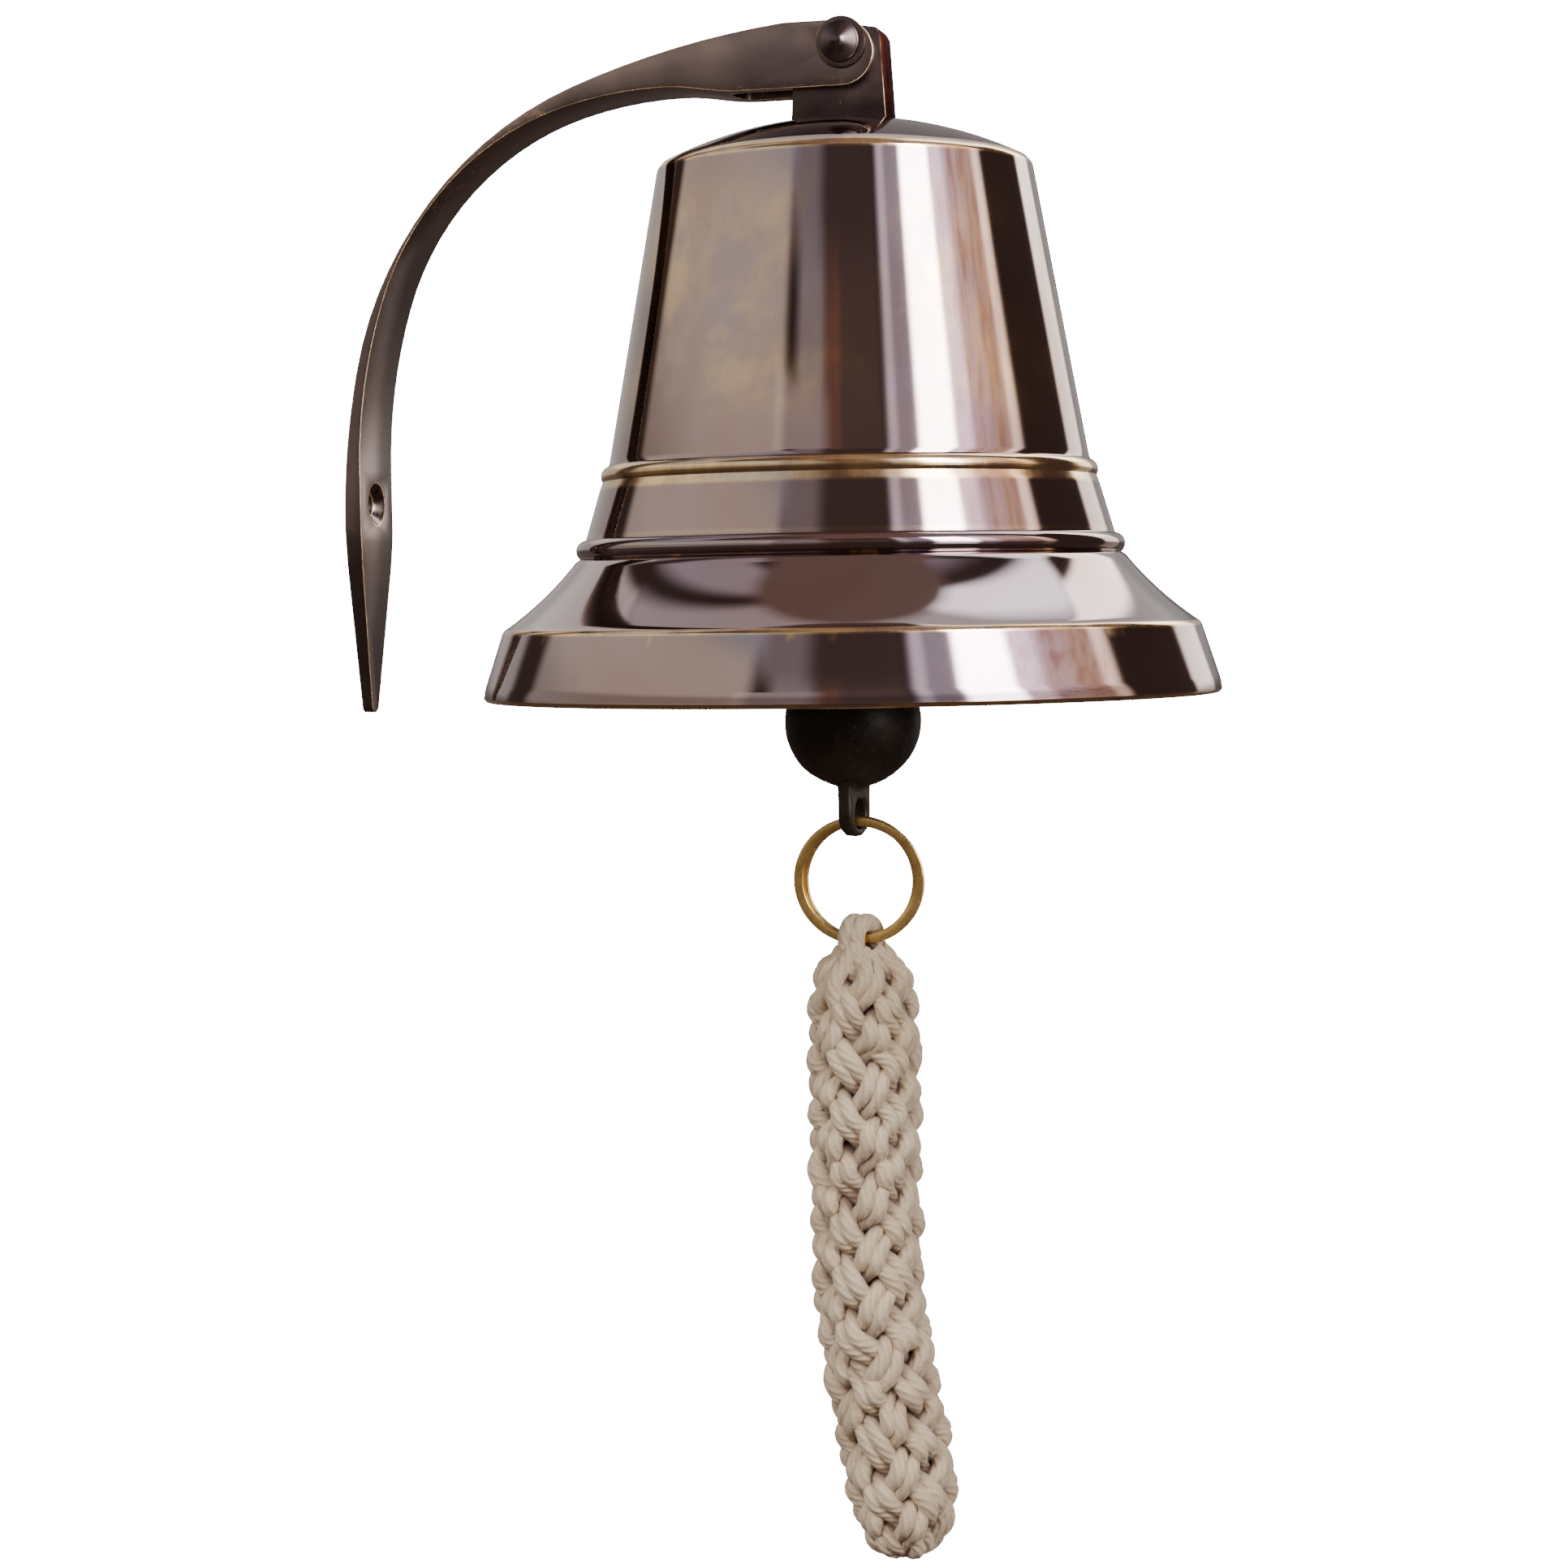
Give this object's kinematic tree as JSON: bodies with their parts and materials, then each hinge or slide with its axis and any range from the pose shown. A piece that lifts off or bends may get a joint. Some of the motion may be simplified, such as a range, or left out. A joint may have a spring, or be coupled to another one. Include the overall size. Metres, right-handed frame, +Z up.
{
  "type": "ship bell",
  "caption": "Wall-hung ship bell: turned bell swinging in a cast arched bracket, with a hanging clapper, a split ring and a short plaited rope.",
  "frame": {"origin": "middle of the bracket's screw hole, on the wall side of the plate", "axes": "+X points out of the wall towards the bell, +Z up, +Y across the bracket; Y = 0 is the bracket's middle plane"},
  "size_m": [0.1847, 0.1524, 0.319],
  "materials": {
    "bell_bronze": "polished and darkened to purple-brown, worn to gold on its edges",
    "bracket_bronze": "cast, darkened nearly black, glossy, worn to gold on its edges",
    "dark_bronze": "darkened nearly black, glossy",
    "yellow_brass": "bright yellow brass",
    "cast_clapper": "rough casting, dark olive grey",
    "cotton_cord": "natural cotton cord, plaited"
  },
  "bodies": {
    "bracket": {"wall_bracket": "bracket_bronze", "pivot_bolt": "dark_bronze", "pivot_washers": "bracket_bronze", "pivot_nut": "dark_bronze"},
    "bell": {"crown_lug": "dark_bronze", "bell_body": "bell_bronze", "clapper_eye_bolt": "yellow_brass", "eye_washer": "yellow_brass", "eye_nut": "yellow_brass"},
    "link": {"clapper_link": "yellow_brass"},
    "clapper": {"clapper": "cast_clapper"},
    "ring": {"split_ring": "yellow_brass"},
    "rope": {"rope_loop": "cotton_cord", "rope_body": "cotton_cord"}
  },
  "joints": [
    {"name": "bell_swing", "type": "hinge", "parent": "bracket", "child": "bell", "pos_m": [0.11, 0, 0.0908], "axis": [0, -1, 0], "range_deg": [-11, 35]},
    {"name": "link_swing", "type": "hinge", "parent": "bell", "child": "link", "pos_m": [0.1085, 0, 0.0532], "axis": [1, 0, 0], "range_deg": [-16, 16]},
    {"name": "clapper_swing", "type": "hinge", "parent": "link", "child": "clapper", "pos_m": [0.1085, 0, 0.0377], "axis": [0, -1, 0], "range_deg": [-26, 26]},
    {"name": "ring_swing", "type": "hinge", "parent": "clapper", "child": "ring", "pos_m": [0.1085, 0, -0.0681], "axis": [1, 0, 0], "range_deg": [-20, 20]},
    {"name": "rope_swing", "type": "hinge", "parent": "ring", "child": "rope", "pos_m": [0.1095, 0, -0.0805], "axis": [0, -1, 0], "range_deg": [-15, 15]}
  ]
}
